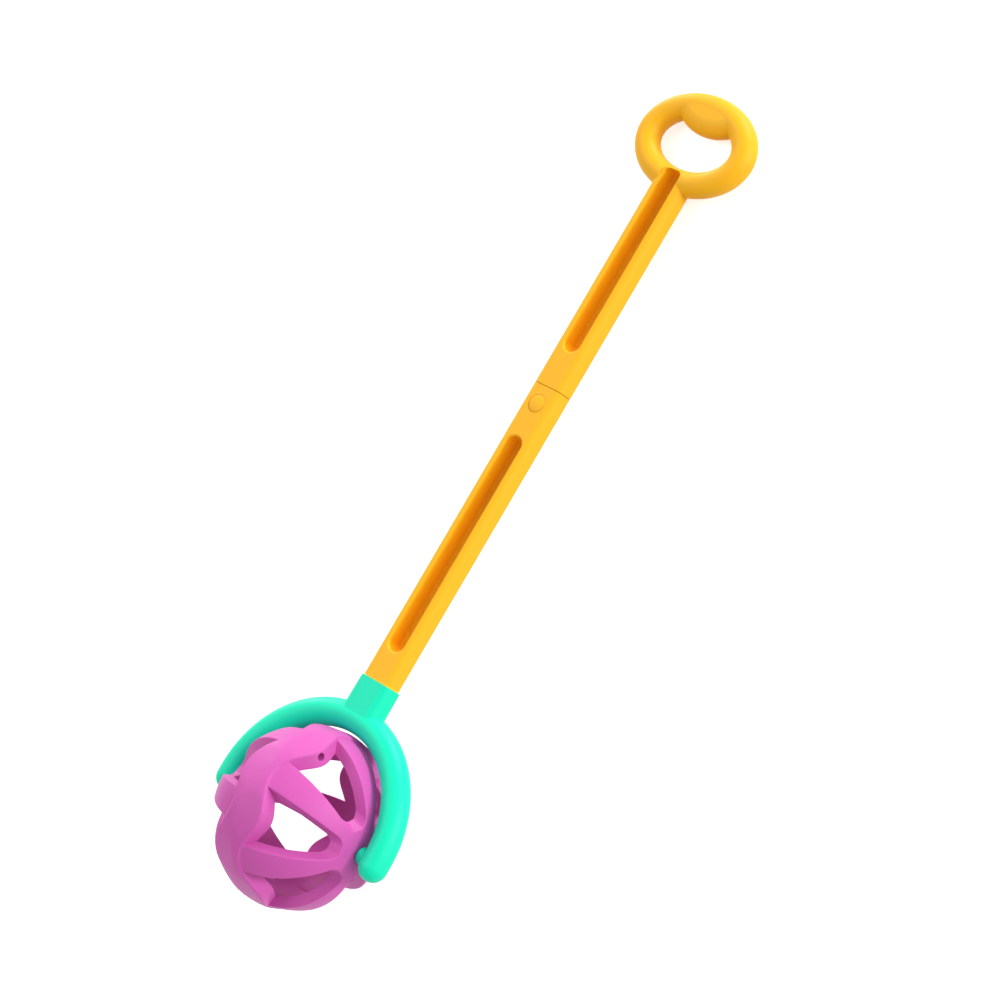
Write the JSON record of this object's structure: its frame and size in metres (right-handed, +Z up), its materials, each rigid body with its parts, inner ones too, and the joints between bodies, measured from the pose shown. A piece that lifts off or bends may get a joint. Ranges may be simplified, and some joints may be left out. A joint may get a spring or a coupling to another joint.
{
  "type": "push toy",
  "caption": "Toddler push toy: an openwork ball turns in a fork below a long slotted handle with an oval ring grip.",
  "frame": {"origin": "middle of the bounding box's underside, on the floor the toy lies on", "axes": "+Y from the ball's end to the ring grip's end, +Z up out of the handle's slotted face, +X along the ball's axle"},
  "size_m": [0.1486, 0.5593, 0.1148],
  "materials": {
    "handle_plastic": "gloss moulded polypropylene, yellow",
    "fork_plastic": "gloss moulded polypropylene, teal",
    "ball_plastic": "gloss moulded polypropylene, pink"
  },
  "bodies": {
    "handle": {"ring_handle": "handle_plastic", "lower_handle": "handle_plastic", "fork": "fork_plastic"},
    "button": {"snap_button": "handle_plastic"},
    "ball": {"ball_half_right": "ball_plastic", "ball_half_left": "ball_plastic"}
  },
  "joints": [
    {"name": "ball_spin", "type": "hinge", "parent": "handle", "child": "ball", "pos_m": [0, -0.22227, 0.0574], "axis": [1, 0, 0], "continuous": true},
    {"name": "button_press", "type": "slide", "parent": "handle", "child": "button", "axis": [0, -0.0993, -0.9951], "range_m": [0, 0.0028], "stiffness_N_per_m": 500}
  ]
}
